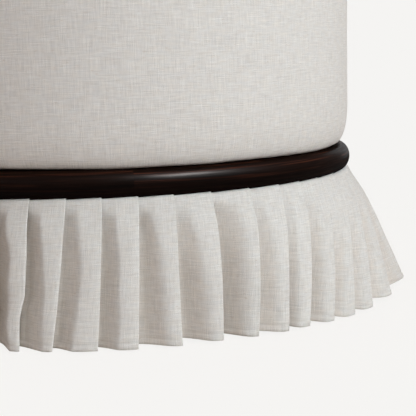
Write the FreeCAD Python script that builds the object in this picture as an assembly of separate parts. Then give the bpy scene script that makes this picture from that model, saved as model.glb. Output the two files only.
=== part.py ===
# Round upholstered ottoman: a linen drum on a half-round hardwood bead, with a knife-pleated
# skirt that hides four block legs on screw levelers.
# Millimetres, +Z up, origin on the floor under the middle of the seat.
import FreeCAD, Part
import math
import os

# Gaps between pieces
layer_gap = 0.3             # between curved layers of board, foam, wadding and cloth
fit_gap = 0.1               # round a screw, bolt, dowel or sleeve in its hole
running_gap = 0.3           # round a leveler stem where it slides

# Levelers, with the threaded sleeves that they turn in
pad_radius = 15.0
pad_height = 7.0
pad_rounding = 2.0
nut_width = 14.0            # across the flats
nut_height = 3.0
stem_radius = 4.0
stem_length = 32.0
stem_chamfer = 1.0
spigot_depth = 4.0          # end of the stem in the pad
sleeve_radius = 6.5
sleeve_length = 16.0
sleeve_flange_radius = 11.0
sleeve_flange_thickness = 1.5

# Block legs, with the bolts and nuts that hold them
leg_height = 90.0
leg_foot_width = 40.0
leg_top_width = 46.0
leg_setback = 30.0          # leg's axis in from the bead's inner edge
bolt_radius = 4.0
bolt_grip = 30.0            # depth in the leg
t_nut_radius = 5.2
t_nut_length = 11.0
t_nut_flange_radius = 10.0
t_nut_flange_thickness = 1.5

# Sub base and dust cover
sub_base_thickness = 18.0
sub_base_setback = 13.0     # edge in from the bead's nose
dust_cover_thickness = 0.8
dust_cover_margin = 8.0
dust_cover_leg_gap = 0.5

# Bead ring
bead_segment_count = 6
bead_joint_angle = -85.0    # first joint, from +X
bead_height = 25.0
bead_nose = 10.0            # depth of the half round
bead_width = 56.0
bead_proud = 1.6            # past the side of the drum
dowel_radius = 4.0
dowel_length = 40.0
dowel_edge = 17.0           # first dowel, from the bead's inner edge
dowel_spacing = 20.0

# Drum frame
board_radius = 225.0
board_thickness = 18.0
top_ring_width = 62.0
top_ring_thickness = 18.0
post_count = 6
post_side = 40.0
post_height = 169.5
post_setback = 4.0          # from the board's edge
side_panel_thickness = 3.0
side_panel_slit = 2.0       # where the bent panel's ends meet at the back

# Wood screws
screw_radius = 2.2
screw_head_radius = 4.5
screw_head_height = 3.2
screw_point = 5.0
post_screw_grip = 30.0
bead_screw_grip = 18.0
bead_screw_edge = 11.0      # in from the board's edge
bead_screw_spread = 15.0    # degrees either side of a segment's middle
sub_screw_grip = 16.0
sub_screw_edge = 20.0       # in from the sub base's edge
sub_screw_spread = 20.0     # degrees either side of a segment's middle

# Webbing and deck cloth
strap_count = 4
strap_width = 50.0
strap_space = 35.0          # between straps
strap_thickness = 1.2
strap_margin = 5.0          # ends short of the board's edge
deck_cloth_thickness = 0.8
deck_cloth_margin = 2.0

# Foam, wadding and cover
side_foam_thickness = 20.0
seat_foam_height = 78.0     # at the edge
seat_crown = 13.0
foam_corner = 8.0           # rounding of the seat's top edge
foam_turn_in = 9.2          # how far the drum's foot draws in
foam_turn_height = 36.2     # how high that starts
wadding_thickness = 4.0
cover_thickness = 1.2
cover_turn_under = 27.0     # stapled under the base board
seam_drop = 6.0             # seam below the seat's top edge

# Skirt, with its tape and tack strip
pleat_count = 48
pleat_start = -105.5        # one fold's place, in degrees from +X
return_share = 0.06         # part of a pleat's pitch that its return takes
rise_share = 0.14           # part that the panel takes to rise out of the valley
rise_height = 0.8           # share of the depth that it rises by there
header_opening = 0.12       # part of the pitch where the valley ends, at the top
shoulder_opening = 0.30
hem_opening = 0.45
lean_most = 16.0            # degrees that a hem trails its top, where the folds lean most
lean_angle = -15.0          # where that is, from +X
lean_start = -105.0         # where the folds don't lean
cloth_thickness = 1.2
cloth_bulk = 1.25           # a folded edge over a flat one
header_drop = 1.0           # below the bead
shoulder_drop = 22.0        # below the bead
hem_clearance = 2.0         # above the floor
header_depth = 4.0          # pleat depth at the top
shoulder_depth = 9.0
hem_depth = 15.0
shoulder_flare = 17.5       # folds past their place at the top
hem_flare = 59.0
tape_thickness = 1.0
tape_height = 14.0
strip_thickness = 1.4
strip_height = 10.0

# Radii, from the middle outwards
panel_inner = board_radius + layer_gap
panel_outer = panel_inner + side_panel_thickness
foam_inner = panel_outer + layer_gap
foam_radius = foam_inner + side_foam_thickness
wadding_start = layer_gap
wadding_end = wadding_start + wadding_thickness
cover_start = wadding_end + layer_gap
cover_end = cover_start + cover_thickness
drum_radius = foam_radius + cover_end
bead_outer = drum_radius + bead_proud
bead_inner = bead_outer - bead_width
sub_base_radius = bead_outer - sub_base_setback
leg_circle = bead_inner - leg_setback
post_circle = board_radius - post_setback - post_side / 2

# Heights, from the floor up
leg_z = pad_height + nut_height
sub_base_z = leg_z + leg_height
bead_z = sub_base_z + sub_base_thickness
header_z = bead_z - header_drop
bead_top_z = bead_z + bead_height
base_board_z = bead_top_z + cover_thickness
post_z = base_board_z + board_thickness
top_ring_z = post_z + post_height
webbing_z = top_ring_z + top_ring_thickness
deck_z = webbing_z + 2 * strap_thickness
seat_z = deck_z + deck_cloth_thickness
foam_edge_z = seat_z + seat_foam_height
foam_foot_z = bead_top_z + cover_end
seam_z = foam_edge_z + cover_end - seam_drop

axis_foot = FreeCAD.Vector(0, 0, 0)
up = FreeCAD.Vector(0, 0, 1)
quarter_pull = 0.5523       # control point share that makes a curve a quarter round
leg_angles = [45.0, 135.0, 225.0, 315.0]


def polar(radius, angle, z=0.0):
    turn = math.radians(angle)
    return FreeCAD.Vector(radius * math.cos(turn), radius * math.sin(turn), z)


def side_point(radius, z):
    return FreeCAD.Vector(radius, 0, z)


def line(start, end):
    return Part.LineSegment(start, end).toShape()


def curve(poles):
    bend = Part.BezierCurve()
    bend.setPoles(poles)
    return bend.toShape()


def quarter_round(start, corner, end):
    pull_start = start + (corner - start) * quarter_pull
    pull_end = end + (corner - end) * quarter_pull
    return curve([start, pull_start, pull_end, end])


def turned(edges, start_angle=0.0, sweep=360.0):
    """Solid that an outline in the XZ plane makes round the Z axis."""
    outline = Part.Face(Part.Wire(edges))
    outline.rotate(axis_foot, up, start_angle)
    solid = outline.revolve(axis_foot, up, sweep)
    if solid.Volume < 0:
        solid.reverse()
    return solid


def turned_points(points):
    corners = [side_point(radius, z) for radius, z in points]
    return turned(Part.makePolygon(corners + corners[:1]).Edges)


def disc(radius, z, height):
    return Part.makeCylinder(radius, height, FreeCAD.Vector(0, 0, z))


def tube(inner, outer, z, height):
    return disc(outer, z, height).cut(disc(inner, z, height))


def square(width, centre):
    half = width / 2
    corners = []
    for x, y in [(-half, -half), (half, -half), (half, half), (-half, half), (-half, -half)]:
        corners.append(centre + FreeCAD.Vector(x, y, 0))
    return Part.makePolygon(corners)


def cut_all(shape, tools):
    for tool in tools:
        shape = shape.cut(tool)
    return shape


def save(name, shape):
    shape.exportStep("parts/" + name + ".step")


def save_group(name, solids):
    save(name, Part.makeCompound(solids))


# Wood screw: head at the place given, shank up or down from it
def wood_screw(place, length, upwards, gap=0.0):
    shank = screw_radius + gap
    outline = [(0, 0), (screw_head_radius + gap, 0), (shank, screw_head_height),
               (shank, length - screw_point), (0, length + gap)]
    screw = turned_points(outline)
    if not upwards:
        screw.rotate(axis_foot, FreeCAD.Vector(1, 0, 0), 180)
    screw.translate(place)
    return screw


# Nylon foot with a blind hole in its top for the end of the stem
def leveler_pad(place):
    rim = pad_radius - pad_rounding
    edges = [
        line(side_point(0, 0), side_point(rim, 0)),
        quarter_round(side_point(rim, 0), side_point(pad_radius, 0), side_point(pad_radius, pad_rounding)),
        line(side_point(pad_radius, pad_rounding), side_point(pad_radius, pad_height)),
        line(side_point(pad_radius, pad_height), side_point(0, pad_height)),
        line(side_point(0, pad_height), side_point(0, 0)),
    ]
    socket = disc(stem_radius + fit_gap, pad_height - spigot_depth, spigot_depth)
    pad = turned(edges).cut(socket)
    pad.translate(place)
    return pad


# Steel stem with a hexagon nut: its spigot sits in the pad, its top turns in the leg's sleeve
def leveler_stem(place):
    corner_reach = nut_width / math.sqrt(3)
    corners = [polar(corner_reach, 60 * k, pad_height) for k in range(7)]
    nut = Part.Face(Part.makePolygon(corners)).extrude(up * nut_height)
    bottom = pad_height - spigot_depth
    top = leg_z + stem_length
    shank = turned_points([(0, bottom), (stem_radius, bottom), (stem_radius, top - stem_chamfer),
                           (stem_radius - stem_chamfer, top), (0, top)])
    stem = nut.fuse(shank).removeSplitter()
    stem.translate(place)
    return stem


def leveler_sleeve(place):
    bore = stem_radius + running_gap
    flange_top = leg_z + sleeve_flange_thickness
    sleeve = turned_points([(bore, leg_z), (sleeve_flange_radius, leg_z), (sleeve_flange_radius, flange_top),
                            (sleeve_radius, flange_top), (sleeve_radius, leg_z + sleeve_length),
                            (bore, leg_z + sleeve_length)])
    sleeve.translate(place)
    return sleeve


# Tapered block, bored for the bolt above and the leveler below
def leg(place):
    foot = square(leg_foot_width, place + up * leg_z)
    top = square(leg_top_width, place + up * sub_base_z)
    block = Part.makeLoft([foot, top], True, True)
    bolt_hole = disc(bolt_radius + fit_gap, sub_base_z - bolt_grip - fit_gap, bolt_grip + fit_gap)
    flange_seat = disc(sleeve_flange_radius + fit_gap, leg_z, sleeve_flange_thickness)
    sleeve_hole = disc(sleeve_radius + fit_gap, leg_z, sleeve_length)
    stem_hole = disc(stem_radius + running_gap, leg_z, stem_length + running_gap)
    holes = [bolt_hole, flange_seat, sleeve_hole, stem_hole]
    for hole in holes:
        hole.translate(place)
    return cut_all(block, holes)


def hanger_bolt(place):
    bottom = sub_base_z - bolt_grip
    bolt = disc(bolt_radius, bottom, bead_z + t_nut_flange_thickness - bottom)
    bolt.translate(place)
    return bolt


def t_nut(place):
    bore = bolt_radius + fit_gap
    flange_top = bead_z + t_nut_flange_thickness
    nut = turned_points([(bore, bead_z - t_nut_length), (t_nut_radius, bead_z - t_nut_length),
                         (t_nut_radius, bead_z), (t_nut_flange_radius, bead_z),
                         (t_nut_flange_radius, flange_top), (bore, flange_top)])
    nut.translate(place)
    return nut


# Half-round moulding, one length of it between two joints
def bead_segment(start_angle, sweep):
    nose_start = bead_outer - bead_nose
    middle = bead_z + bead_height / 2
    edges = [
        line(side_point(bead_inner, bead_z), side_point(nose_start, bead_z)),
        quarter_round(side_point(nose_start, bead_z), side_point(bead_outer, bead_z),
                      side_point(bead_outer, middle)),
        quarter_round(side_point(bead_outer, middle), side_point(bead_outer, bead_top_z),
                      side_point(nose_start, bead_top_z)),
        line(side_point(nose_start, bead_top_z), side_point(bead_inner, bead_top_z)),
        line(side_point(bead_inner, bead_top_z), side_point(bead_inner, bead_z)),
    ]
    return turned(edges, start_angle, sweep)


def dowel(angle, radius, gap=0.0):
    along = polar(1, angle + 90)
    middle = polar(radius, angle, bead_z + bead_height / 2)
    start = middle - along * (dowel_length / 2 + gap)
    return Part.makeCylinder(dowel_radius + gap, dowel_length + 2 * gap, start, along)


def post(angle):
    corner = FreeCAD.Vector(post_circle - post_side / 2, -post_side / 2, post_z)
    block = Part.makeBox(post_side, post_side, post_height, corner)
    block.rotate(axis_foot, up, angle)
    return block


# Bent panel round the base board and the top ring, open along a slit at the back
def side_panel():
    height = webbing_z - base_board_z
    panel = tube(panel_inner, panel_outer, base_board_z, height)
    slit = Part.makeBox(side_panel_slit, 2 * side_panel_thickness + panel_inner, height,
                        FreeCAD.Vector(-side_panel_slit / 2, 0, base_board_z))
    return panel.cut(slit)


def straps(z, turn):
    trim = disc(board_radius - strap_margin, z, strap_thickness)
    pitch = strap_width + strap_space
    solids = []
    for k in range(strap_count):
        middle = (k - (strap_count - 1) / 2) * pitch
        corner = FreeCAD.Vector(-board_radius, middle - strap_width / 2, z)
        strap = Part.makeBox(2 * board_radius, strap_width, strap_thickness, corner)
        strap.rotate(axis_foot, up, turn)
        solids.append(strap.common(trim).Solids[0])
    return solids


# The drum's full form, this far outside the foam: drawn-in foot, straight side, crowned seat
def drum_form(outside):
    radius = foam_radius + outside
    foot_radius = foam_radius - foam_turn_in
    foot_z = foam_foot_z - outside
    straight_z = foam_foot_z + foam_turn_height
    corner_z = foam_edge_z - foam_corner
    edge_z = foam_edge_z + outside
    crown_z = edge_z + seat_crown
    shoulder = foam_radius - foam_corner
    edges = [
        line(side_point(0, foot_z), side_point(foot_radius, foot_z)),
        quarter_round(side_point(foot_radius, foot_z), side_point(radius, foot_z),
                      side_point(radius, straight_z)),
        line(side_point(radius, straight_z), side_point(radius, corner_z)),
        quarter_round(side_point(radius, corner_z), side_point(radius, edge_z), side_point(shoulder, edge_z)),
        curve([side_point(shoulder, edge_z), side_point(shoulder / 2, crown_z), side_point(0, crown_z)]),
        line(side_point(0, crown_z), side_point(0, foot_z)),
    ]
    return turned(edges)


def above(z):
    return disc(2 * drum_radius, z, seat_z + 2 * seat_foam_height)


def below(z):
    return disc(2 * drum_radius, 0, z)


# How far round a fold's hem trails its top, in degrees, at this place
def pleat_lean(angle):
    rise_run = lean_angle - lean_start
    past = (angle - lean_angle) % 360.0
    share = min(past / (360.0 - rise_run), (360.0 - past) / rise_run)
    return -lean_most * math.cos(math.radians(90.0 * share)) ** 2


# Knife pleats round the skirt at one height: fold, valley, and panel rising to the next fold
def pleat_line(valley, depth, opening, z):
    drop = (header_z - z) / (header_z - hem_clearance)
    steps = [(0.0, depth), (return_share, 0.0), (opening, 0.0), (opening + rise_share, rise_height * depth)]
    points = []
    for k in range(pleat_count):
        for share, height in steps:
            angle = pleat_start + (k + share) * 360.0 / pleat_count
            points.append(polar(valley + height, angle + drop * pleat_lean(angle), z))
    return points


def inside_line(points, distance):
    """The same outline moved inwards by the cloth's thickness, corner for corner."""
    moved = []
    for k in range(len(points)):
        before = (points[k] - points[k - 1]).normalize()
        after = (points[(k + 1) % len(points)] - points[k]).normalize()
        inward_before = FreeCAD.Vector(-before.y, before.x, 0)
        inward_after = FreeCAD.Vector(-after.y, after.x, 0)
        middle = (inward_before + inward_after).normalize()
        moved.append(points[k] + middle * (distance / middle.dot(inward_before)))
    return moved


def wall(rows):
    faces = []
    for lower, upper in zip(rows, rows[1:]):
        for k in range(len(lower)):
            low_edge = line(lower[k - 1], lower[k])
            high_edge = line(upper[k - 1], upper[k])
            faces.append(Part.makeRuledSurface(low_edge, high_edge))
    return faces


def cap(outside, inside):
    outer = Part.makePolygon(outside + outside[:1])
    inner = Part.makePolygon(inside + inside[:1])
    return Part.Face(outer).cut(Part.Face(inner)).Faces[0]


def skirt(header_inner):
    valley = header_inner + cloth_bulk * cloth_thickness
    fold = valley + header_depth
    rows = [
        pleat_line(fold + hem_flare - hem_depth, hem_depth, hem_opening, hem_clearance),
        pleat_line(fold + shoulder_flare - shoulder_depth, shoulder_depth, shoulder_opening,
                   bead_z - shoulder_drop),
        pleat_line(valley, header_depth, header_opening, header_z),
    ]
    lining_rows = [inside_line(row, cloth_thickness) for row in rows]
    faces = wall(rows) + wall(lining_rows)
    faces.append(cap(rows[0], lining_rows[0]))
    faces.append(cap(rows[-1], lining_rows[-1]))
    shell = Part.makeShell(faces)
    shell.sewShape()
    solid = Part.makeSolid(shell)
    if solid.Volume < 0:
        solid.reverse()
    return solid


os.makedirs("parts", exist_ok=True)

# Legs and levelers
leg_places = [polar(leg_circle, angle) for angle in leg_angles]
for number, place in enumerate(leg_places, 1):
    save("leg_%d" % number, leg(place))
    save("leveler_pad_%d" % number, leveler_pad(place))
    save("leveler_stem_%d" % number, leveler_stem(place))
save_group("leveler_sleeves", [leveler_sleeve(place) for place in leg_places])
save_group("hanger_bolts", [hanger_bolt(place) for place in leg_places])
save_group("t_nuts", [t_nut(place) for place in leg_places])

# Places of the fasteners round the bead
segment_sweep = 360.0 / bead_segment_count
joint_angles = [bead_joint_angle + k * segment_sweep for k in range(bead_segment_count)]
bead_screw_angles = []
sub_screw_angles = []
for joint in joint_angles:
    middle = joint + segment_sweep / 2
    bead_screw_angles += [middle - bead_screw_spread, middle + bead_screw_spread]
    sub_screw_angles += [middle - sub_screw_spread, middle + sub_screw_spread]
dowel_radii = [bead_inner + dowel_edge, bead_inner + dowel_edge + dowel_spacing]


def bead_screws(gap=0.0):
    length = board_thickness + cover_thickness + bead_screw_grip
    circle = board_radius - bead_screw_edge
    return [wood_screw(polar(circle, angle, post_z), length, False, gap) for angle in bead_screw_angles]


def sub_base_screws(gap=0.0):
    length = sub_base_thickness + sub_screw_grip
    circle = sub_base_radius - sub_screw_edge
    return [wood_screw(polar(circle, angle, sub_base_z), length, True, gap) for angle in sub_screw_angles]


def bead_dowels(gap=0.0):
    return [dowel(angle, radius, gap) for angle in joint_angles for radius in dowel_radii]


# Bead ring
bead_holes = bead_screws(fit_gap) + sub_base_screws(fit_gap) + bead_dowels(fit_gap)
for number, angle in enumerate(joint_angles, 1):
    save("bead_segment_%d" % number, cut_all(bead_segment(angle, segment_sweep), bead_holes))
save_group("bead_dowels", bead_dowels())
save_group("bead_screws", bead_screws())
save_group("sub_base_screws", sub_base_screws())

# Sub base and dust cover
t_nut_holes = [Part.makeCylinder(t_nut_radius + fit_gap, sub_base_thickness, place + up * sub_base_z)
               for place in leg_places]
save("sub_base", cut_all(disc(sub_base_radius, sub_base_z, sub_base_thickness),
                         t_nut_holes + sub_base_screws(fit_gap)))
dust_cover_z = sub_base_z - dust_cover_thickness
leg_window = leg_top_width + 2 * dust_cover_leg_gap
leg_windows = [Part.Face(square(leg_window, place + up * dust_cover_z)).extrude(up * dust_cover_thickness)
               for place in leg_places]
save("dust_cover", cut_all(disc(sub_base_radius - dust_cover_margin, dust_cover_z, dust_cover_thickness),
                           leg_windows))

# Drum frame
post_angles = [bead_joint_angle + k * 360.0 / post_count for k in range(post_count)]


def post_screws(gap=0.0):
    screws = []
    for angle in post_angles:
        low_place = polar(post_circle, angle, base_board_z)
        high_place = polar(post_circle, angle, webbing_z)
        screws.append(wood_screw(low_place, board_thickness + post_screw_grip, True, gap))
        screws.append(wood_screw(high_place, top_ring_thickness + post_screw_grip, False, gap))
    return screws


post_holes = post_screws(fit_gap)
save("base_board", cut_all(disc(board_radius, base_board_z, board_thickness),
                           post_holes + bead_screws(fit_gap)))
save("top_ring", cut_all(tube(board_radius - top_ring_width, board_radius, top_ring_z, top_ring_thickness),
                         post_holes))
for number, angle in enumerate(post_angles, 1):
    save("post_%d" % number, cut_all(post(angle), post_holes))
save_group("frame_screws", post_screws())
save("side_panel", side_panel())

# Webbing and deck cloth
save_group("webbing_lengthwise", straps(webbing_z, 0.0))
save_group("webbing_crosswise", straps(webbing_z + strap_thickness, 90.0))
save("deck_cloth", disc(board_radius - deck_cloth_margin, deck_z, deck_cloth_thickness))

# Foam, wadding and cover
foam = drum_form(0.0)
save("seat_foam", foam.common(above(seat_z)))
save("side_foam", foam.common(below(seat_z)).cut(disc(foam_inner, 0, seat_z)))
wadding = drum_form(wadding_end).cut(drum_form(wadding_start))
save("seat_batting", wadding.common(above(seam_z)))
save("side_batting", wadding.common(below(seam_z)).cut(disc(foam_inner, 0, seat_z)))
cover = drum_form(cover_end).cut(drum_form(cover_start))
cover_opening = disc(foam_radius - foam_turn_in - cover_turn_under, 0, seat_z)
save("top_panel", cover.common(above(seam_z)))
save("side_band", cut_all(cover.common(below(seam_z)), [cover_opening] + bead_screws(fit_gap)))

# Skirt, hung on its tape and tack strip round the sub base
tape_inner = sub_base_radius + layer_gap
strip_inner = tape_inner + tape_thickness + layer_gap
strip_outer = strip_inner + strip_thickness
save("skirt_tape", tube(tape_inner, tape_inner + tape_thickness, header_z - tape_height, tape_height))
save("tack_strip", tube(strip_inner, strip_outer, header_z - strip_height, strip_height))
save("skirt", skirt(strip_outer + layer_gap))
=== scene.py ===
import math
import random

import bpy
from mathutils import Matrix, Vector, noise


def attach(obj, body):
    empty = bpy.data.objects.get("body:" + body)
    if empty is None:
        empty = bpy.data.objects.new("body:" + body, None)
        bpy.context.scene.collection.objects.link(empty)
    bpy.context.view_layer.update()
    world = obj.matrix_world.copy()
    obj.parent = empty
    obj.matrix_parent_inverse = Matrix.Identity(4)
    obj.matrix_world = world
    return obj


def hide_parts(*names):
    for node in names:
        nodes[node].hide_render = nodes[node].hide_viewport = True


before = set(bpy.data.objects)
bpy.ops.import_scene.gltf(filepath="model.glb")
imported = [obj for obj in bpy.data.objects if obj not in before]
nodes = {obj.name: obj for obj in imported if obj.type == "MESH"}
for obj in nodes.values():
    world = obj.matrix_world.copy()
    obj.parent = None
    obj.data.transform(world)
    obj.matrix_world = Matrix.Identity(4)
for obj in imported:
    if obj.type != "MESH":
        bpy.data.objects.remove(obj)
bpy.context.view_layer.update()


# Levelers: a moulded nylon foot on a zinc-plated steel stem with a hexagon nut, one under each leg.
# The stem screws into a flanged steel sleeve pressed into the leg, so the ottoman can be set level.
def feed(tree, made, inputs):
    """Gives each input of a node a plain value or another node's output."""
    for name, value in inputs.items():
        if isinstance(value, bpy.types.NodeSocket):
            tree.links.new(value, made.inputs[name])
        else:
            made.inputs[name].default_value = value
    return made


def put(tree, kind, inputs=None, **settings):
    """Adds a node with its settings and inputs."""
    made = tree.nodes.new("ShaderNode" + kind)
    for name, value in settings.items():
        setattr(made, name, value)
    return feed(tree, made, inputs or {})


def clouds(tree, place, scale, detail, roughness=0.5, distortion=0.0):
    """Soft noise, mostly between 0.3 and 0.7."""
    return put(tree, "TexNoise", {"Vector": place, "Scale": scale, "Detail": detail, "Roughness": roughness,
                                  "Distortion": distortion}).outputs["Fac"]


def ranged(tree, value, low, high, to_low=0.0, to_high=1.0):
    """Stretches a value's range from low to high over another range, and stops at both ends."""
    return put(tree, "MapRange", {"Value": value, "From Min": low, "From Max": high, "To Min": to_low,
                                  "To Max": to_high}).outputs["Result"]


def tinted(tree, share, none, full, blend_type="MIX"):
    """A colour between two, by a share from 0 to 1."""
    return put(tree, "Mix", {"Factor": share, "A": none, "B": full}, data_type="RGBA",
               blend_type=blend_type).outputs["Result"]


def new_group(name, inputs, outputs):
    """A shader group with its sockets; returns the group, its inputs and where its results go."""
    group = bpy.data.node_groups.new(name, "ShaderNodeTree")
    for label, kind in inputs:
        group.interface.new_socket(label, in_out="INPUT", socket_type="NodeSocket" + kind)
    for label, kind in outputs:
        group.interface.new_socket(label, in_out="OUTPUT", socket_type="NodeSocket" + kind)
    given = group.nodes.new("NodeGroupInput").outputs
    result = group.nodes.new("NodeGroupOutput").inputs
    return group, given, result


def use_group(tree, group, inputs):
    """Places a shader group in a material; returns its outputs."""
    made = tree.nodes.new("ShaderNodeGroup")
    made.node_tree = group
    return feed(tree, made, inputs).outputs


def new_finish(name, constants):
    """A material with its Principled shader's plain values set; returns material, tree and shader inputs."""
    material = bpy.data.materials.new(name)
    material.use_nodes = True
    shader = material.node_tree.nodes["Principled BSDF"]
    for label, value in constants.items():
        shader.inputs[label].default_value = value
    return material, material.node_tree, shader.inputs


def object_place(tree):
    """Where a point lies on the ottoman, in metres."""
    return put(tree, "TexCoord").outputs["Object"]


def paint(tree, shader, colour, roughness):
    """Joins a finish's colour and roughness to its shader."""
    tree.links.new(colour, shader["Base Color"])
    tree.links.new(roughness, shader["Roughness"])


def bump(tree, shader, height, strength, distance):
    """Joins a finish's fine relief to its shader."""
    made = put(tree, "Bump", {"Height": height, "Strength": strength, "Distance": distance})
    tree.links.new(made.outputs["Normal"], shader["Normal"])


def dress(finish, *names):
    """Gives whole CAD pieces one finish."""
    for name in names:
        if not nodes[name].material_slots:
            nodes[name].data.materials.append(finish)
        for place in nodes[name].material_slots:
            place.material = finish


mottle, given, result = new_group(
    "uneven_mottle",
    [("Place", "Vector"), ("Scale", "Float"), ("Low", "Float"), ("High", "Float")],
    [("Share", "Float"), ("Level", "Float")],
)
spread = ranged(mottle, clouds(mottle, given["Place"], given["Scale"], 4.0, roughness=0.6), 0.3, 0.7)
mottle.links.new(spread, result["Share"])
mottle.links.new(ranged(mottle, spread, 0.0, 1.0, given["Low"], given["High"]), result["Level"])

nylon, tree, shader = new_finish("black_nylon", {"IOR": 1.53})
scuff = use_group(tree, mottle, {"Place": object_place(tree), "Scale": 420.0, "Low": 0.38, "High": 0.62})
tone = tinted(tree, scuff["Share"], (0.030, 0.028, 0.026, 1), (0.060, 0.055, 0.050, 1))
paint(tree, shader, tone, scuff["Level"])
bump(tree, shader, scuff["Share"], 0.15, 0.0003)

zinc, tree, shader = new_finish("zinc_plated_steel", {"Metallic": 1.0})
haze = use_group(tree, mottle, {"Place": object_place(tree), "Scale": 260.0, "Low": 0.28, "High": 0.46})
tone = tinted(tree, haze["Share"], (0.47, 0.47, 0.44, 1), (0.63, 0.63, 0.61, 1))
paint(tree, shader, tone, haze["Level"])
bump(tree, shader, haze["Share"], 0.1, 0.0002)

leg_count = 4
for number in range(1, leg_count + 1):
    dress(nylon, "leveler_pad_%d" % number)
    dress(zinc, "leveler_stem_%d" % number)
dress(zinc, "leveler_sleeves")


# Block legs: tapered hardwood blocks, stained brown and lacquered, hidden behind the skirt.
# Each is sawn from one length, so its grain stands upright, and hangs on a bolt and a nut in the sub base.
def stretched(tree, place, factors):
    """A place with each of its axes multiplied."""
    return put(tree, "VectorMath", {0: place, 1: factors}, operation="MULTIPLY").outputs[0]


def upright_place(tree):
    """Object coordinates with the grain's length, the first axis, turned to stand upright."""
    parts = put(tree, "SeparateXYZ", {0: object_place(tree)}).outputs
    return put(tree, "CombineXYZ", {0: parts["Z"], 1: parts["X"], 2: parts["Y"]}).outputs[0]


grain, given, result = new_group(
    "wood_grain",
    [("Along", "Vector"), ("Light", "Color"), ("Dark", "Color"), ("Figure", "Float"), ("Fibre", "Float")],
    [("Colour", "Color"), ("Fibres", "Float"), ("Figure", "Float")],
)
broad = clouds(grain, stretched(grain, given["Along"], (0.07, 1.0, 1.0)), given["Figure"], 5.0, 0.55, 0.6)
fine = clouds(grain, stretched(grain, given["Along"], (0.03, 1.0, 1.0)), given["Fibre"], 3.0, 0.7)
figure = ranged(grain, broad, 0.32, 0.68)
fibres = ranged(grain, fine, 0.3, 0.7)
ripeness = put(grain, "Mix", {"Factor": 0.42, "A": figure, "B": fibres}).outputs["Result"]
grain.links.new(tinted(grain, ripeness, given["Dark"], given["Light"]), result["Colour"])
grain.links.new(fibres, result["Fibres"])
grain.links.new(figure, result["Figure"])

leg_wood, tree, shader = new_finish("brown_leg_wood", {"Specular IOR Level": 0.4})
wood = use_group(tree, grain, {"Along": upright_place(tree), "Light": (0.145, 0.094, 0.064, 1),
                               "Dark": (0.060, 0.038, 0.026, 1), "Figure": 55.0, "Fibre": 900.0})
paint(tree, shader, wood["Colour"], ranged(tree, wood["Fibres"], 0.0, 1.0, 0.52, 0.36))
bump(tree, shader, wood["Fibres"], 0.2, 0.0003)
for number in range(1, leg_count + 1):
    dress(leg_wood, "leg_%d" % number)


# Leg fixings: a plain length of bolt in the top of each leg and a flanged nut in the sub base.
# Both are turned from zinc-plated steel.
dress(zinc, "hanger_bolts", "t_nuts")


# Sub base: a round of birch plywood under the bead, to which the legs, skirt and dust cover are fixed.
# Its faces show veneer and its edge the glued layers.
def maths(tree, operation, *values):
    """One sum on values or other nodes' outputs."""
    return put(tree, "Math", dict(enumerate(values)), operation=operation).outputs[0]


plywood, tree, shader = new_finish("birch_plywood", {"Specular IOR Level": 0.25})
place = object_place(tree)
veneer = use_group(tree, grain, {"Along": place, "Light": (0.66, 0.49, 0.31, 1),
                                 "Dark": (0.50, 0.34, 0.20, 1), "Figure": 26.0, "Fibre": 600.0})
layers = put(tree, "TexWave", {"Vector": stretched(tree, place, (0.0, 0.0, 1.0)), "Scale": 56.0,
                               "Distortion": 0.0}, bands_direction="Z").outputs["Fac"]
edge = tinted(tree, layers, (0.30, 0.19, 0.11, 1), (0.60, 0.44, 0.28, 1))
facing = put(tree, "SeparateXYZ", {0: put(tree, "NewGeometry").outputs["Normal"]}).outputs["Z"]
on_face = maths(tree, "GREATER_THAN", maths(tree, "ABSOLUTE", facing), 0.5)
board = tinted(tree, on_face, edge, veneer["Colour"])
paint(tree, shader, board, ranged(tree, veneer["Fibres"], 0.0, 1.0, 0.82, 0.66))
bump(tree, shader, veneer["Fibres"], 0.25, 0.0004)
dress(plywood, "sub_base")


# Dust cover: black bonded cloth stapled flat under the sub base, cut out round the legs.
# It is pressed from loose fibres, so it has a felted face and no weave.
felt, tree, shader = new_finish("black_bonded_cloth", {"Specular IOR Level": 0.1, "Sheen Weight": 0.3,
                                                       "Sheen Roughness": 0.5})
place = object_place(tree)
strands = clouds(tree, place, 700.0, 3.0, distortion=2.5)
dots = put(tree, "TexVoronoi", {"Vector": place, "Scale": 330.0}, feature="F1").outputs["Distance"]
felted = maths(tree, "MULTIPLY", strands, ranged(tree, dots, 0.1, 0.35))
tone = tinted(tree, felted, (0.008, 0.008, 0.009, 1), (0.034, 0.034, 0.036, 1))
paint(tree, shader, tone, ranged(tree, felted, 0.0, 1.0, 0.75, 0.95))
bump(tree, shader, felted, 0.4, 0.0004)
dress(felt, "dust_cover")


# Bead ring: six lengths of half-round hardwood, butted and dowelled into a ring round the drum's foot.
# They are turned, stained espresso and lacquered to a satin; their upper part is painted lighter brown, as
# painted light from above.
bead_inner = 0.2
bead_outer = 0.256
bead_low = 0.118
bead_high = 0.143
bead_nose = 0.010
bead_segments = 6
first_joint = math.radians(-85.0)
segment_turn = 2 * math.pi / bead_segments
half_height = (bead_high - bead_low) / 2
nose_start = bead_outer - bead_nose
overlong = nose_start + half_height
merge_gap = 0.00001
board_step = 0.37
# The heights over which the bead's upper part is painted lighter: painted light from above.
top_light_start = bead_low + 0.009
top_light_end = bead_high - 0.003


def select_where(mesh, keep):
    """Selects the vertices that keep says yes to, in edit mode."""
    bpy.ops.mesh.select_all(action="DESELECT")
    bpy.ops.object.mode_set(mode="OBJECT")
    for vertex in mesh.vertices:
        vertex.select = keep(vertex.co)
    bpy.ops.object.mode_set(mode="EDIT")


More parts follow.
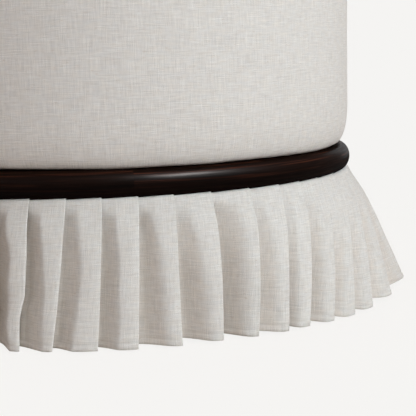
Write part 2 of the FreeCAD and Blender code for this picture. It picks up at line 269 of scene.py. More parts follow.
bpy.ops.object.select_all(action="DESELECT")
bpy.ops.mesh.primitive_plane_add(size=1.0, rotation=(math.pi / 2, 0, 0),
                                 location=((bead_inner + overlong) / 2, 0, (bead_low + bead_high) / 2))
bead = bpy.context.object
bead.scale = (overlong - bead_inner, bead_high - bead_low, 1)
bpy.ops.object.transform_apply(location=True, rotation=True, scale=True)
bpy.ops.object.mode_set(mode="EDIT")
bpy.context.tool_settings.mesh_select_mode = (True, False, False)
select_where(bead.data, lambda point: point.x > nose_start)
bpy.ops.mesh.bevel(offset=half_height, segments=10, affect="VERTICES", clamp_overlap=True)
bpy.ops.mesh.remove_doubles(threshold=merge_gap)
select_where(bead.data, lambda point: point.x > nose_start + merge_gap)
bpy.ops.transform.resize(value=(bead_nose / half_height, 1, 1), center_override=(nose_start, 0, 0))
bpy.ops.mesh.select_all(action="SELECT")
bpy.ops.mesh.spin(steps=60, angle=segment_turn, center=(0, 0, 0), axis=(0, 0, 1))
bpy.ops.mesh.select_all(action="SELECT")
bpy.ops.mesh.remove_doubles(threshold=merge_gap)
bpy.ops.mesh.normals_make_consistent(inside=False)
bpy.ops.object.mode_set(mode="OBJECT")
bpy.ops.object.shade_smooth_by_angle(angle=math.radians(40))

espresso, tree, shader = new_finish("espresso_lacquer", {"Specular IOR Level": 0.0, "Coat Roughness": 0.33,
                                                         "Coat IOR": 1.5})
from_joint = put(tree, "Mapping", {"Vector": object_place(tree),
                                   "Rotation": (0, 0, -segment_turn - first_joint)}).outputs[0]
parts = put(tree, "SeparateXYZ", {0: from_joint}).outputs
angle = maths(tree, "ARCTAN2", parts["Y"], parts["X"])
arc = maths(tree, "MULTIPLY", angle, bead_outer)
level_place = stretched(tree, from_joint, (1, 1, 0))
radius = put(tree, "VectorMath", {0: level_place}, operation="LENGTH").outputs["Value"]
length_number = maths(tree, "FLOOR", maths(tree, "DIVIDE", angle, segment_turn))
board_height = maths(tree, "MULTIPLY_ADD", length_number, board_step, parts["Z"])
along = put(tree, "CombineXYZ", {0: arc, 1: radius, 2: board_height}).outputs[0]
wood = use_group(tree, grain, {"Along": along, "Light": (0.0042, 0.0015, 0.0009, 1),
                               "Dark": (0.0007, 0.0004, 0.0003, 1), "Figure": 120.0, "Fibre": 1100.0})
# Red-brown grain streaks along the ring; a height mask keeps them mostly on the upper part, which is painted
# light from above.
streaks = clouds(tree, stretched(tree, along, (0.02, 1.0, 1.0)), 480.0, 2.0)
top_light_mask = ranged(tree, parts["Z"], top_light_start, top_light_end, 0.08, 1.0)
streaks = maths(tree, "MULTIPLY", ranged(tree, streaks, 0.55, 0.72), top_light_mask)
streaked = tinted(tree, streaks, wood["Colour"], (0.062, 0.0170, 0.0082, 1))
# Painted top light: the bead's upper part is tinted lighter brown where the light falls on it.
top_light_share = maths(tree, "MULTIPLY", maths(tree, "MULTIPLY", top_light_mask, 0.32), wood["Figure"])
top_lit_wood = tinted(tree, top_light_share, streaked, (0.034, 0.0150, 0.0098, 1))
paint(tree, shader, top_lit_wood, ranged(tree, wood["Fibres"], 0.0, 1.0, 0.46, 0.34))
tree.links.new(ranged(tree, wood["Fibres"], 0.0, 1.0, 0.028, 0.064), shader["Coat Weight"])
bump(tree, shader, wood["Fibres"], 0.22, 0.0003)
bead.data.materials.append(espresso)

plain_bead = bead.data.copy()
for number in range(bead_segments):
    if number:
        bead = bpy.data.objects.new("bead", plain_bead.copy())
        bpy.context.scene.collection.objects.link(bead)
    bead.name = "bead_length_%d" % (number + 1)
    bead.data.name = bead.name
    bead.data.transform(Matrix.Rotation(first_joint + number * segment_turn, 4, "Z"))
    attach(bead, "ottoman_frame")
    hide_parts("bead_segment_%d" % (number + 1))


# Bead fixings: two beech dowels glued across each joint, and zinc screws from the boards above and below.
# All of them are out of sight once the ring is closed.
beech, tree, shader = new_finish("planed_beech", {"Specular IOR Level": 0.25})
wood = use_group(tree, grain, {"Along": upright_place(tree), "Light": (0.70, 0.52, 0.34, 1),
                               "Dark": (0.55, 0.37, 0.22, 1), "Figure": 30.0, "Fibre": 700.0})
paint(tree, shader, wood["Colour"], ranged(tree, wood["Fibres"], 0.0, 1.0, 0.8, 0.62))
bump(tree, shader, wood["Fibres"], 0.25, 0.0004)
dress(beech, "bead_dowels")
dress(zinc, "bead_screws", "sub_base_screws")


# Drum frame: a plywood base board and top ring, held apart by six planed posts that are screwed through both.
# A thin bent panel is wrapped round them and stapled, to carry the foam.
dress(plywood, "base_board", "top_ring")
post_count = 6
for number in range(1, post_count + 1):
    dress(beech, "post_%d" % number)
dress(zinc, "frame_screws")

fibre_card, tree, shader = new_finish("brown_fibreboard", {"Specular IOR Level": 0.15})
place = object_place(tree)
pulp = use_group(tree, mottle, {"Place": place, "Scale": 160.0, "Low": 0.78, "High": 0.95})
shades = maths(tree, "MULTIPLY", pulp["Share"], clouds(tree, place, 900.0, 2.0))
paint(tree, shader, tinted(tree, shades, (0.27, 0.19, 0.12, 1), (0.47, 0.36, 0.25, 1)), pulp["Level"])
bump(tree, shader, shades, 0.2, 0.0004)
dress(fibre_card, "side_panel")


# Seat deck: jute webbing stretched over the top ring both ways, with a cotton canvas over it.
# Both are plain woven, the jute far coarser than the canvas.
weave, given, result = new_group(
    "plain_weave",
    [("Place", "Vector"), ("Spacing", "Float"), ("Slub", "Float"), ("Thread", "Color"), ("Gap", "Color"),
     ("Fleck", "Color")],
    [("Colour", "Color"), ("Height", "Float")],
)


def half_wave(tree, value):
    """Rises and falls once from one whole number to the next."""
    return maths(tree, "SINE", maths(tree, "MULTIPLY", value, math.pi))


density = maths(weave, "DIVIDE", 1.0, given["Spacing"])
threads = put(weave, "VectorMath", {0: given["Place"], "Scale": density}, operation="SCALE").outputs[0]
waver = put(weave, "TexNoise", {"Vector": threads, "Scale": 0.06, "Detail": 2.0}).outputs["Color"]
waver = stretched(weave, waver, (1.6, 1.6, 0.0))
threads = put(weave, "VectorMath", {0: threads, 1: waver}, operation="ADD").outputs[0]
across, upward, _ = put(weave, "SeparateXYZ", {0: threads}).outputs
weft_number = maths(weave, "FLOOR", upward)
warp_number = maths(weave, "FLOOR", across)
weft_round = half_wave(weave, maths(weave, "FRACT", upward))
warp_round = half_wave(weave, maths(weave, "FRACT", across))
weft_over = half_wave(weave, maths(weave, "ADD", across, weft_number))
warp_over = half_wave(weave, maths(weave, "ADD", upward, warp_number))
weft_rise = maths(weave, "MULTIPLY", weft_round, maths(weave, "MULTIPLY_ADD", weft_over, 0.3, 0.7))
warp_rise = maths(weave, "MULTIPLY", warp_round, maths(weave, "MULTIPLY_ADD", warp_over, -0.3, 0.7))
weft_on_top = maths(weave, "GREATER_THAN", weft_rise, warp_rise)
rise = maths(weave, "MAXIMUM", weft_rise, warp_rise)
weft_place = put(weave, "CombineXYZ", {0: maths(weave, "MULTIPLY", across, 0.045),
                                       1: maths(weave, "MULTIPLY", weft_number, 0.83), 2: 3.0}).outputs[0]
warp_place = put(weave, "CombineXYZ", {0: maths(weave, "MULTIPLY", warp_number, 0.83),
                                       1: maths(weave, "MULTIPLY", upward, 0.045), 2: 9.0}).outputs[0]
weft_slub = clouds(weave, weft_place, 1.0, 3.0)
warp_slub = clouds(weave, warp_place, 1.0, 3.0)
slub = put(weave, "Mix", {"Factor": weft_on_top, "A": warp_slub, "B": weft_slub}).outputs["Result"]
slub_shade = maths(weave, "MULTIPLY_ADD", maths(weave, "SUBTRACT", slub, 0.5), given["Slub"], 1.0)
streak = clouds(weave, stretched(weave, threads, (0.08, 0.45, 1.0)), 1.0, 3.0)
spun = tinted(weave, ranged(weave, streak, 0.46, 0.74, 0.0, 0.2), given["Thread"], given["Fleck"])
shaded = put(weave, "VectorMath", {0: spun, "Scale": slub_shade}, operation="SCALE").outputs[0]
filled = tinted(weave, ranged(weave, rise, 0.15, 0.6), given["Gap"], shaded)
fleck = clouds(weave, stretched(weave, threads, (0.2, 0.55, 1.0)), 1.0, 1.0)
flecked = tinted(weave, ranged(weave, fleck, 0.67, 0.76, 0.0, 0.55), filled, given["Fleck"])
thick = maths(weave, "MULTIPLY", rise, maths(weave, "MULTIPLY_ADD", slub, 0.6, 0.7))
weave.links.new(flecked, result["Colour"])
weave.links.new(thick, result["Height"])


def woven_finish(name, place_of, spacing, slub, thread, gap, fleck, sheen):
    """A plain woven cloth; place_of gives the thread places in metres, spacing is from thread to thread."""
    material, tree, shader = new_finish(name, {"Specular IOR Level": 0.0, "Sheen Weight": sheen,
                                               "Sheen Roughness": 0.45})
    cloth = use_group(tree, weave, {"Place": place_of(tree), "Spacing": spacing, "Slub": slub,
                                    "Thread": thread + (1,), "Gap": gap + (1,), "Fleck": fleck + (1,)})
    paint(tree, shader, cloth["Colour"], ranged(tree, cloth["Height"], 0.0, 1.0, 0.98, 0.82))
    bump(tree, shader, cloth["Height"], 0.5, 0.35 * spacing)
    return material


jute = woven_finish("jute_webbing", object_place, spacing=0.0025, slub=0.5, thread=(0.46, 0.34, 0.20),
                    gap=(0.16, 0.11, 0.06), fleck=(0.60, 0.48, 0.32), sheen=0.1)
canvas = woven_finish("cotton_canvas", object_place, spacing=0.0009, slub=0.25, thread=(0.60, 0.55, 0.46),
                      gap=(0.34, 0.30, 0.24), fleck=(0.50, 0.44, 0.34), sheen=0.1)
dress(jute, "webbing_lengthwise", "webbing_crosswise")
dress(canvas, "deck_cloth")


# Stuffing: a disc of cream foam on the deck, a strip of it round the side, and polyester wadding over both.
# The foam shows open cells and the wadding loose fibres; the cover holds all of it in place.
foam, tree, shader = new_finish("cream_foam", {"Specular IOR Level": 0.1})
place = object_place(tree)
cells = put(tree, "TexVoronoi", {"Vector": place, "Scale": 650.0}, feature="F1").outputs["Distance"]
age = use_group(tree, mottle, {"Place": place, "Scale": 9.0, "Low": 0.88, "High": 0.98})
paint(tree, shader, tinted(tree, cells, (0.83, 0.76, 0.53, 1), (0.62, 0.54, 0.34, 1)), age["Level"])
bump(tree, shader, cells, 0.5, 0.0008)
dress(foam, "seat_foam", "side_foam")

wadding, tree, shader = new_finish("white_wadding", {"Specular IOR Level": 0.1, "Sheen Weight": 0.4,
                                                     "Sheen Roughness": 0.6})
strands = clouds(tree, object_place(tree), 240.0, 5.0, distortion=3.0)
tone = tinted(tree, strands, (0.74, 0.74, 0.72, 1), (0.92, 0.92, 0.90, 1))
paint(tree, shader, tone, ranged(tree, strands, 0.0, 1.0, 0.85, 1.0))
bump(tree, shader, strands, 0.6, 0.002)
dress(wadding, "seat_batting", "side_batting")


# Side band: the linen round the drum, sewn into a tube with one seam at the back and pulled down tight.
# Its foot is drawn in over the wadding's edge and stapled under the base board; the seat's seam closes it.
drum_radius = 0.2544
drum_foot = 0.1431
foot_radius = 0.2424
foot_lift = 0.0018
foot_edge = drum_foot + foot_lift
straight_low = 0.1850
straight_high = 0.4229
seat_edge = 0.4367
seat_shoulder = 0.2406
seat_top = 0.4497
turned_under = 0.2130
cloth_thickness = 0.0011
drum_columns = 360
column_width = drum_radius * 2 * math.pi / drum_columns
corner_rows = 7
side_rows = 40
foot_rows = 16
under_rows = 6
# The seam's place on the seat's corner, its allowance, and how deep and how softly its stitches draw in.
seam_share = 0.47
seam_allowance = 0.0045
seam_parting = 0.0006
seam_depth = 0.0011
seam_softness = 0.0022
back_seam_depth = 0.0009
back_seam_width = 0.0024
pull_reach = 0.012
# Where the foot is drawn down: share of the way round from the back, width as such a share, and depth.
foot_pulls = [(0.547, 0.055, 0.0010), (0.503, 0.018, 0.0008), (0.648, 0.030, 0.0009), (0.585, 0.015, -0.0003)]


def quarter_bend(start, corner, end, share):
    """A point on the rounded corner from start to end, as (radius, height)."""
    round_share = 0.5523
    one = [a + (b - a) * round_share for a, b in zip(start, corner)]
    two = [a + (b - a) * round_share for a, b in zip(end, corner)]
    rest = 1 - share
    return tuple(rest ** 3 * a + 3 * rest ** 2 * share * b + 3 * rest * share ** 2 * c + share ** 3 * d
                 for a, b, c, d in zip(start, one, two, end))


def seat_corner(share):
    """A point on the seat's rounded edge, from the drum's side to its shoulder."""
    side = (drum_radius, straight_high)
    shoulder = (seat_shoulder, seat_edge)
    return quarter_bend(side, (drum_radius, seat_edge), shoulder, share)


def ease(low, high, value):
    """Goes softly from 0 at low to 1 at high."""
    share = min(max((value - low) / (high - low), 0.0), 1.0)
    return share * share * (3 - 2 * share)


def column_turn(column):
    """The angle of one of the drum's columns of points, counted from the back."""
    return math.radians(90) + column * 2 * math.pi / drum_columns


def seam_dip(from_seam):
    """How far the seam's stitches draw the cloth in, this far from it."""
    return seam_depth * math.exp(-from_seam / seam_softness)


def cloth_mesh(name, rows, flat_rows, finish, thickness, folds=None, middle=None):
    """A closed round of cloth from rows of points, top row first, with its flat places as a UV map.

    folds gives each point a share from 0 to 1 of lying deep in a fold, which the linen uses for painted fold
    shade; middle closes the first row.
    """
    columns = len(rows[0])
    points = [point for row in rows for point in row]
    faces = []
    flats = []
    for r in range(len(rows) - 1):
        upper = r * columns
        lower = upper + columns
        for c in range(columns):
            after = (c + 1) % columns
            faces.append((upper + c, lower + c, lower + after, upper + after))
            flats += [flat_rows[r][c], flat_rows[r + 1][c], flat_rows[r + 1][c + 1], flat_rows[r][c + 1]]
    if middle:
        faces += [(len(points), c, (c + 1) % columns) for c in range(columns)]
        for c in range(columns):
            flats += [(0.0, 0.0), flat_rows[0][c], flat_rows[0][c + 1]]
        points.append(middle)
    mesh = bpy.data.meshes.new(name)
    mesh.from_pydata(points, [], faces)
    flat_map = mesh.uv_layers.new(name="cloth")
    for loop, flat in zip(flat_map.data, flats):
        loop.uv = flat
    if folds:
        mesh.attributes.new("fold", "FLOAT", "POINT").data.foreach_set("value", folds)
    mesh.materials.append(finish)
    piece = bpy.data.objects.new(name, mesh)
    bpy.context.scene.collection.objects.link(piece)
    bpy.ops.object.select_all(action="DESELECT")
    piece.select_set(True)
    bpy.context.view_layer.objects.active = piece
    bpy.ops.object.shade_smooth()
    wall = piece.modifiers.new("wall", "SOLIDIFY")
    wall.thickness = thickness
    wall.offset = -1.0
    bpy.ops.object.modifier_apply(modifier="wall")
    return piece


def cloth_place(tree):
    """Where a point lies on the flat cloth, in metres."""
    return put(tree, "UVMap", uv_map="cloth").outputs["UV"]


linen = woven_finish("oatmeal_linen", cloth_place, spacing=0.0008, slub=0.9, thread=(0.716, 0.702, 0.672),
                     gap=(0.623, 0.605, 0.568), fleck=(0.56, 0.49, 0.42), sheen=0.12)
tree = linen.node_tree
shader = tree.nodes["Principled BSDF"].inputs
woven_colour = shader["Base Color"].links[0].from_socket
flax = clouds(tree, stretched(tree, cloth_place(tree), (0.6, 1.2, 1.0)), 180.0, 2.0)
flax_colour = tinted(tree, ranged(tree, flax, 0.36, 0.64), woven_colour, (1.0, 0.981, 0.957, 1), "MULTIPLY")
# Painted shade: deep in the pleats' folds the linen is tinted darker and warmer, standing in for the recesses'
# shade and warm bounce light.
painted_fold_shade = put(tree, "Attribute", attribute_name="fold").outputs["Fac"]
linen_with_fold_shade = tinted(tree, painted_fold_shade, flax_colour, (0.985, 0.95, 0.92, 1), "MULTIPLY")
tree.links.new(linen_with_fold_shade, shader["Base Color"])

band_profile = []
for share in [0.0, 0.5]:
    radius, height = seat_corner(seam_share)
    band_profile.append((radius - seam_allowance * (1 - share), height - seam_parting))
for k in range(corner_rows):
    band_profile.append(seat_corner(seam_share * (1 - k / corner_rows)))
for k in range(side_rows):
    band_profile.append((drum_radius, straight_high + (straight_low - straight_high) * k / side_rows))
for k in range(foot_rows):
    band_profile.append(quarter_bend((drum_radius, straight_low), (drum_radius, foot_edge),
                                     (foot_radius, foot_edge), k / foot_rows))
for k in range(under_rows + 1):
    share = k / under_rows
    band_profile.append((foot_radius + (turned_under - foot_radius) * share,
                         foot_edge - foot_lift * ease(0.1, 0.5, share)))

rows = []
flat_rows = []
run = 0.0
for k, (radius, height) in enumerate(band_profile):
    if k:
        run += math.dist(band_profile[k - 1], band_profile[k])
    dip = seam_dip(max(run - seam_allowance, 0.0))
    row = []
    for c in range(drum_columns):
        turn = column_turn(c)
        spot = Vector((math.cos(turn), math.sin(turn), 0)) * drum_radius
        spot.z = height
        # How unevenly the wadding lies, and the small pulls of the staples and the stitches.
        lie = 0.0004 * noise.noise(spot * 9) + 0.00022 * noise.noise(spot * 31)
        pull = 0.00035 * noise.noise(Vector((spot.x * 60, spot.y * 60, 4)))
        pull *= ease(0.2, 0.16, height) + 0.8 * math.exp(-run / pull_reach)
        from_back = min(c, drum_columns - c) * column_width
        back_dip = back_seam_depth * math.exp(-(from_back / back_seam_width) ** 2)
        out = radius + (lie + pull) * ease(foot_edge, foot_edge + 0.006, height) - dip - back_dip
        drawn = 0.0003 * noise.noise(spot * 45)
        for place, width, depth in foot_pulls:
            drawn += depth * math.exp(-((c / drum_columns - place) / width) ** 2)
        foot = height - drawn * ease(straight_low, foot_edge, height) * ease(drum_foot, foot_edge, height)
        row.append((out * math.cos(turn), out * math.sin(turn), foot))
    rows.append(row)
    flat_rows.append([(c * column_width, -run) for c in range(drum_columns + 1)])
side_band = cloth_mesh("side_band_linen", rows, flat_rows, linen, cloth_thickness)
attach(side_band, "ottoman_frame")
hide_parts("side_band")


# Seat panel: a round of the same linen over the crowned seat, sewn to the side band in one plain seam.
# The seam allowance is turned down inside, and the cloth is tight over the wadding.
shoulder_rows = 8
crown_rows = 36
panel_profile = []
for share in [0.0, 0.5]:
    radius, height = seat_corner(seam_share)
    panel_profile.append((radius - seam_allowance * (1 - share), height + seam_parting))
for k in range(shoulder_rows):
    panel_profile.append(seat_corner(seam_share + (1 - seam_share) * k / shoulder_rows))
for k in [*range(crown_rows), crown_rows - 0.3]:
    rest = 1 - k / crown_rows
    panel_profile.append((rest * seat_shoulder, seat_top - rest * rest * (seat_top - seat_edge)))
panel_profile.reverse()

rows = []
flat_rows = []
runs = [panel_profile[0][0]]
for before, after in zip(panel_profile, panel_profile[1:]):
    runs.append(runs[-1] + math.dist(before, after))
for (radius, height), run in zip(panel_profile, runs):
    from_seam = max(runs[-1] - seam_allowance - run, 0.0)
    row = []
    flat_row = []
    for c in range(drum_columns):
        turn = column_turn(c)
        spot = Vector((radius * math.cos(turn), radius * math.sin(turn), height))
        lie = 0.0009 * noise.noise(spot * 7) + 0.0003 * noise.noise(spot * 27)
        pull = 0.0004 * noise.noise(Vector((math.cos(turn), math.sin(turn), 2)) * 15)
        rise = (lie - 0.0003) * ease(0.0, 0.02, from_seam) + pull * math.exp(-from_seam / pull_reach)
        out = radius - seam_dip(from_seam) * ease(0.2, 0.24, radius)
        row.append((out * math.cos(turn), out * math.sin(turn), height + rise))
        flat_row.append((run * math.cos(turn), run * math.sin(turn)))
    rows.append(row)
    flat_rows.append(flat_row + flat_row[:1])
crown_point = (0, 0, sum(point[2] for point in rows[0]) / drum_columns)
seat_panel = cloth_mesh("seat_panel_linen", rows, flat_rows, linen, cloth_thickness, middle=crown_point)
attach(seat_panel, "ottoman_frame")
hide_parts("top_panel")


# Skirt header: a cotton tape that the pleats are sewn to and a card strip that holds its edge straight.
# Both are stapled round the sub base, under the bead.
dress(canvas, "skirt_tape")
dress(fibre_card, "tack_strip")


# Skirt: one long strip of the linen, folded into knife pleats, pressed at the top and left free below.
# It hangs from the header and swings out to the floor, so the pleats open and lean.
# Its hem is turned and sewn.
pleats = 48
skirt_thickness = 0.0009
fold_bend = 0.0009
header_radius = 0.2521
header_height = 0.1177
header_bulk = 1.3
# The header's outer edge is pushed up against the bead: by how much, and over which radii.
header_rise = 0.0025
header_edge = (0.2465, 0.2515)
# The cloth's rows, as millimetres below the header, and how far the sewn hem stands out at the last ones.
drops = [0.0, 1.5, 3.5, 6, 9, 12.5, 16.5, 21, 26, 32, 39, 47, 56, 65, 74, 83, 91, 98, 104,
         107.5, 110.2, 111.0, 111.8, 113.6, 115.5]
hem_drop = drops[-1]
hem_turn = {111.0: -0.0004, 111.8: 0.0004, 113.6: 0.0005, hem_drop: 0.0002}
# How the skirt flares: steep under the header, then straight to the hem; in millimetres.
steep_slope = 0.83
straight_start = 8.4
straight_slope = 0.4381
flare_blend = 3.0
# A pleat's depth in millimetres: as sewn, what opens below, and the part of that which opens at once.
pressed_depth = 2.4
sprung_depth = 10.6
early_depth = 6.6
# How far the cloth goes back behind a fold, as a share of a pleat, and the points along each part of it.
tuck_at_header = 0.42
tuck_lost = 0.2
hidden_points = 4
face_points = 24
return_points = 5
# The folds' angles in front, at the header and at the hem, in degrees.
header_folds = [-105.5, -98.2, -91.3, -84.2, -77.1, -69.2, -60.2, -52.2, -45.5, -38.2, -29.3]
hem_folds = [-104.5, -99.3, -92.4, -86.2, -79.4, -72.8, -66.7, -60.9, -56.5, -50.8, -45.0, -38.9,
             -29.9, -12.2]
# The front pleats, from the one before the first fold: depth, where the recess ends at the top, half way
# down and at the hem as shares of the pleat, softness, the recess's lift at the hem in millimetres, and
# the share of the depth that opens late.
pleat_words = ("depth", "top_end", "middle_end", "hem_end", "softness", "lift", "late")
front_pleats = [
    (2.90, 0.38, 0.59, 0.77, 0.00, 0.0, 0.50),
    (1.15, 0.36, 0.53, 0.72, 0.00, 0.0, 0.00),
    (0.95, 0.34, 0.52, 0.43, 0.08, 0.0, 0.00),
    (1.00, 0.38, 0.51, 0.52, 0.05, 0.0, 0.00),
    (1.35, 0.40, 0.58, 0.72, 0.50, 0.0, 0.00),
    (1.80, 0.36, 0.61, 0.71, 0.60, 0.5, 0.50),
    (2.55, 0.55, 0.74, 0.71, 0.60, 0.5, 0.20),
    (1.30, 0.34, 0.58, 0.74, 0.50, 1.0, 0.50),
    (1.20, 0.36, 0.46, 0.50, 0.35, 1.5, 0.70),
    (1.85, 0.45, 0.56, 0.70, 0.45, 2.0, 0.70),
    (1.00, 0.80, 0.70, 0.56, 0.30, 2.5, 0.90),
    (1.05, 0.80, 0.70, 0.52, 0.30, 2.5, 0.90),
    (1.30, 0.80, 0.60, 0.60, 0.50, 2.5, 0.70),
    (1.60, 0.60, 0.70, 0.90, 0.10, 1.0, 0.90),
    (0.85, 0.60, 0.60, 0.60, 0.30, 1.0, 0.90),
]
# How roundly the cloth leaves the recess, for two pleats that differ and for the others.
own_curls = {0: 1.05, pleats - 1: 1.8}
usual_curl = 1.3
# Two pleats on the right hang short, by these millimetres.
short_pleats = {11: 2.6, 12: 1.2}
pick = random.Random(11)


def fill_folds(folds):
    """Carries the measured folds on round the back, a little unevenly, to the first one again."""
    made = list(folds)
    left = pleats - len(folds) + 1
    step = (folds[0] + 360 - folds[-1]) / left
    for k in range(1, left):
        made.append(folds[-1] + step * (k + pick.uniform(-0.13, 0.13)))
    return made + [folds[0] + 360]


header_folds = fill_folds(header_folds)
hem_folds = fill_folds(hem_folds)
habits = []
for k in range(pleats):
    if (k + 1) % pleats < len(front_pleats):
        shape = front_pleats[(k + 1) % pleats]
    else:
        half_way = pick.uniform(0.44, 0.7)
        shape = (pick.uniform(0.75, 1.1), pick.uniform(0.3, 0.45), half_way,
                 half_way + pick.uniform(-0.05, 0.12), pick.uniform(0.1, 0.6), pick.uniform(0.0, 1.5),
                 pick.uniform(0.0, 0.3))
    habit = dict(zip(pleat_words, shape))
    habit["sway"] = pick.uniform(-0.5, 0.5)
    usual_hang = pick.uniform(-0.6, 0.6)
    habit["hang"] = short_pleats.get(k, usual_hang)
    habits.append(habit)


def fold_angle(k, drop):
    """A fold's angle in degrees: straight from header to hem with a slight sway; the first one bends more."""
    share = drop / hem_drop
    sway = habits[k % pleats]["sway"] * math.sin(math.pi * share)
    if k % pleats == 0:
        sway = 0.55 * ease(8, 46, drop) - 0.65 * ease(77, 88, drop) + 0.2 * ease(92, hem_drop, drop)
    return header_folds[k] + (hem_folds[k] - header_folds[k]) * share + sway


def crest_radius(drop):
    """How far out the folds lie: steep at first, then straight."""
    steep = math.exp(-steep_slope * drop / flare_blend)
    straight = math.exp(-(straight_start + straight_slope * drop) / flare_blend)
    start = math.log(1 + math.exp(-straight_start / flare_blend))
    bulk = header_bulk * ease(0, 2, drop) * ease(14, 3, drop)
    return header_radius + 0.001 * (flare_blend * (start - math.log(steep + straight)) + bulk)


def pleat_depth(k, drop):
    """How deep a pleat is: pressed flat at the header, sprung open below it."""
    habit = habits[k % pleats]
    early = early_depth * (1 - habit["late"])
    opened = early * ease(2, 22, drop) + (sprung_depth - early) * ease(20, 92, drop)
    return 0.001 * (pressed_depth + habit["depth"] * opened)


def cloth_depth(k, share, drop):
    """How far the cloth lies inside the folds' line, at this share of the way from one fold to the next."""
    habit = habits[k % pleats]
    softness = habit["softness"]
    end = habit["top_end"] + (habit["middle_end"] - habit["top_end"]) * ease(10, 55, drop)
    end += (habit["hem_end"] - habit["middle_end"]) * ease(55, hem_drop, drop)
    end *= 1 + 0.12 * noise.noise(Vector((k * 3.7, drop / 28, 1)))
    slope = 1 - share / end
    knee = 0.04 + 0.2 * softness
    ramp = (slope + math.sqrt(slope * slope + knee * knee)) / (1 + math.sqrt(1 + knee * knee))
    curled = 1 - (1 - ramp) ** own_curls.get(k % pleats, usual_curl)
    trough = 1 - 0.95 * ease(0.2 * end, 1.25 * end, share) - 0.05 * ease(min(1.25 * end, 0.95), 1, share)
    opened = curled + (trough - curled) * softness
    pressed = 1 - share
    fall = pressed + (opened - pressed) * ease(1, 15, drop)
    swell = 0.0014 * max(1 - end, 0.0) * math.sin(math.pi * ease(min(end, 0.95), 1.06, share))
    return pleat_depth(k, drop) * fall - swell * ease(10, 60, drop)


def hidden_depth(k, share, drop):
    """The same for the cloth that lies out of sight behind a fold, at a share before that fold."""
    start = cloth_depth(k, 0, drop)
    steepness = (start - cloth_depth(k, 0.04, drop)) / 0.04
    return cloth_depth(k - 1, 1 + share, drop) + start - 0.7 * steepness * share


def pleat_section(k, drop):
    """One pleat across: shares of the way from its fold to the next, with depths inside the folds' line."""
    tuck = tuck_at_header - tuck_lost * drop / hem_drop
    section = []
    # The inner fold, out of sight, and the cloth from there to the pleat's own fold.
    bend = min(fold_bend, cloth_depth(k, 0, drop) / 4)
    innermost = hidden_depth(k, -tuck, drop) - bend
    for degrees in [-50, 0, 50]:
        turn = math.radians(degrees)
        section.append((-tuck - 0.03 * math.cos(turn), innermost + bend * math.sin(turn)))
    for j in range(hidden_points):
        share = -tuck * (1 - j / hidden_points)
        section.append((share, hidden_depth(k, share, drop)))
    # The face that shows, the bend at the next fold, and the cloth that goes back in behind it.
    for j in range(face_points):
        section.append((j / face_points, cloth_depth(k, j / face_points, drop)))
    bend = min(fold_bend, cloth_depth(k + 1, 0, drop) / 4)
    for degrees in [90, 30, -30, -90]:
        turn = math.radians(degrees)
        section.append((1 + 0.025 * (math.cos(turn) - 1), bend - bend * math.sin(turn)))
    back_fall = hidden_depth(k + 1, -tuck, drop) - 4 * bend
    for j in range(1, return_points):
        section.append((1 - tuck * j / return_points, 2 * bend + back_fall * j / return_points))
    return section


rows = []
folds = []
for drop in drops:
    crest = crest_radius(drop)
    row = []
    for k in range(pleats):
        deepest = pleat_depth(k, drop)
        left = math.radians(fold_angle(k, drop))
        right = math.radians(fold_angle(k + 1, drop))
        for share, depth in pleat_section(k, drop):
            turn = left + (right - left) * share
            radius = crest - depth + hem_turn.get(drop, 0.0)
            inside = min(max(depth / deepest, 0.0), 1.0)
            # How deep each point lies in its fold, which the linen turns into painted shade.
            folds.append(ease(0.05, 0.45, inside) * ease(4, 24, drop) * ease(0.003, 0.011, deepest))
            lift = habits[k]["hang"] + habits[k]["lift"] * inside
            level = header_height - drop * 0.001 + 0.001 * lift * ease(40, hem_drop, drop)
            level += header_rise * ease(6, 0, drop) * ease(*header_edge, radius)
            row.append((radius * math.cos(turn), radius * math.sin(turn), level))
    rows.append(row)

columns = len(rows[0])
half_way_row = rows[len(rows) // 2]
strip = [0.0]
for c in range(columns):
    strip.append(strip[-1] + math.dist(half_way_row[c], half_way_row[(c + 1) % columns]))
sampled = range(0, columns, 29)
falls = [0.0]
for upper, lower in zip(rows, rows[1:]):
    falls.append(falls[-1] + sum(math.dist(upper[c], lower[c]) for c in sampled) / len(sampled))
flat_rows = [[(along, -fall) for along in strip] for fall in falls]
skirt = cloth_mesh("pleated_skirt", rows, flat_rows, linen, skirt_thickness, folds)
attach(skirt, "ottoman_frame")
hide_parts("skirt")


# Studio: a pale paper floor that runs into the same pale background, in soft light from all round.
# A broad key lamp stands on the right, with weak fills on the left and behind. Two cards show only in the
# lacquer: one at the bead's right end and one as the gleam on its front.
backdrop = (0.913, 0.905, 0.888, 1)
shadow_reach = (0.33, 0.6)
bpy.ops.object.select_all(action="DESELECT")
bpy.ops.mesh.primitive_plane_add(size=12.0, location=(0, 0, 0))
floor = bpy.context.object
floor.name = "studio_floor"


def shows_backdrop(tree):
    """Yes for what the camera sees, straight or mirrored in metal, lacquer or glass."""
    rays = put(tree, "LightPath").outputs
    mirrored = maths(tree, "MAXIMUM", rays["Is Glossy Ray"], rays["Is Transmission Ray"])
    return maths(tree, "MAXIMUM", rays["Is Camera Ray"], mirrored)


paper, tree, shader = new_finish("studio_paper", {"Base Color": (0.76, 0.69, 0.65, 1), "Roughness": 0.9,
                                                  "Specular IOR Level": 0.1})
away = put(tree, "VectorMath", {0: object_place(tree)}, operation="LENGTH").outputs["Value"]
glow = put(tree, "Emission", {"Color": backdrop, "Strength": ranged(tree, away, *shadow_reach, 1.028, 1.0)})
glowing = maths(tree, "MULTIPLY", shows_backdrop(tree), ranged(tree, away, *shadow_reach, 0.93, 1.0))
lit_paper = put(tree, "MixShader", {0: glowing, 1: tree.nodes["Principled BSDF"].outputs[0], 2: glow.outputs[0]})
tree.links.new(lit_paper.outputs[0], tree.nodes["Material Output"].inputs["Surface"])
floor.data.materials.append(paper)

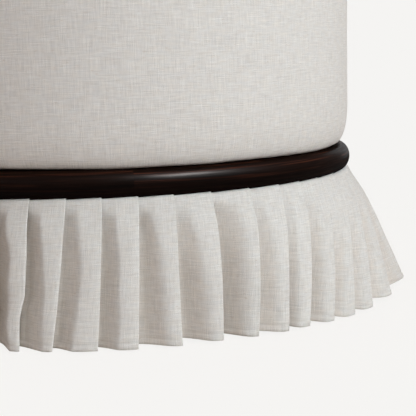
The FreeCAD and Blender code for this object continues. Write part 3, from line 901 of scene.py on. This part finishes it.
world = bpy.data.worlds.new("studio")
bpy.context.scene.world = world
world.use_nodes = True
tree = world.node_tree
soft_light = tree.nodes["Background"]
soft_light.inputs["Color"].default_value = (1.0, 0.715, 0.61, 1)
soft_light.inputs["Strength"].default_value = 0.286
shown = put(tree, "Background", {"Color": backdrop, "Strength": 1.0})
room = put(tree, "MixShader", {0: shows_backdrop(tree), 1: soft_light.outputs[0], 2: shown.outputs[0]})
tree.links.new(room.outputs[0], tree.nodes["World Output"].inputs["Surface"])


def softbox(name, place, aim, size, power, colour):
    """A broad rectangular lamp that faces its aim."""
    lamp = bpy.data.lights.new(name, "AREA")
    lamp.shape = "RECTANGLE"
    lamp.size, lamp.size_y = size
    lamp.energy = power
    lamp.color = colour
    holder = bpy.data.objects.new(name, lamp)
    holder.location = place
    holder.rotation_euler = (Vector(aim) - Vector(place)).to_track_quat("-Z", "Y").to_euler()
    bpy.context.scene.collection.objects.link(holder)
    return holder


softbox("key_softbox", place=(1.559, -1.559, 1.598), aim=(0, 0, 0.22), size=(2.0, 1.0), power=52.4,
        colour=(0.826, 0.94, 1.0))
softbox("left_fill", place=(-1.666, -1.666, 1.319), aim=(0, 0, 0.22), size=(1.6, 1.0), power=5.7,
        colour=(0.69, 0.91, 1.0))
softbox("back_fill", place=(-1.3, 2.1, 1.4), aim=(0, 0, 0.25), size=(1.8, 1.2), power=26.0,
        colour=(0.84, 0.95, 1.0))
rim = softbox("rim_card", place=(1.05, 2.25, 0.47), aim=(0.24, 0, 0.13), size=(1.6, 1.2), power=38.0,
              colour=(0.96, 0.98, 1.0))
gleam = softbox("gleam_strip", place=(1.415, -1.655, 2.2), aim=(0.083, -0.242, 0.135), size=(1.0, 0.35),
                power=560.0, colour=(1.0, 0.95, 0.93))
for card in [rim, gleam]:
    card.visible_diffuse = False

eye = Vector((0, -1.25, 0.25))
yaw = math.radians(4.87)
pitch = math.radians(-8.05)
roll = math.radians(-1.3)
sensor_width = 36.0
picture_width = 416
focal_pixels = 1175
look = Vector((math.sin(yaw) * math.cos(pitch), math.cos(yaw) * math.cos(pitch), math.sin(pitch)))
level_right = Vector((math.cos(yaw), -math.sin(yaw), 0))
level_up = level_right.cross(look)
right = math.cos(roll) * level_right + math.sin(roll) * level_up
upward = -math.sin(roll) * level_right + math.cos(roll) * level_up
lens = bpy.data.cameras.new("photo_camera")
lens.sensor_width = sensor_width
lens.lens = sensor_width * focal_pixels / picture_width
camera = bpy.data.objects.new("photo_camera", lens)
bpy.context.scene.collection.objects.link(camera)
camera.matrix_world = Matrix(((right.x, upward.x, -look.x, eye.x), (right.y, upward.y, -look.y, eye.y),
                              (right.z, upward.z, -look.z, eye.z), (0, 0, 0, 1)))
bpy.context.scene.camera = camera
bpy.context.scene.view_settings.view_transform = "Standard"
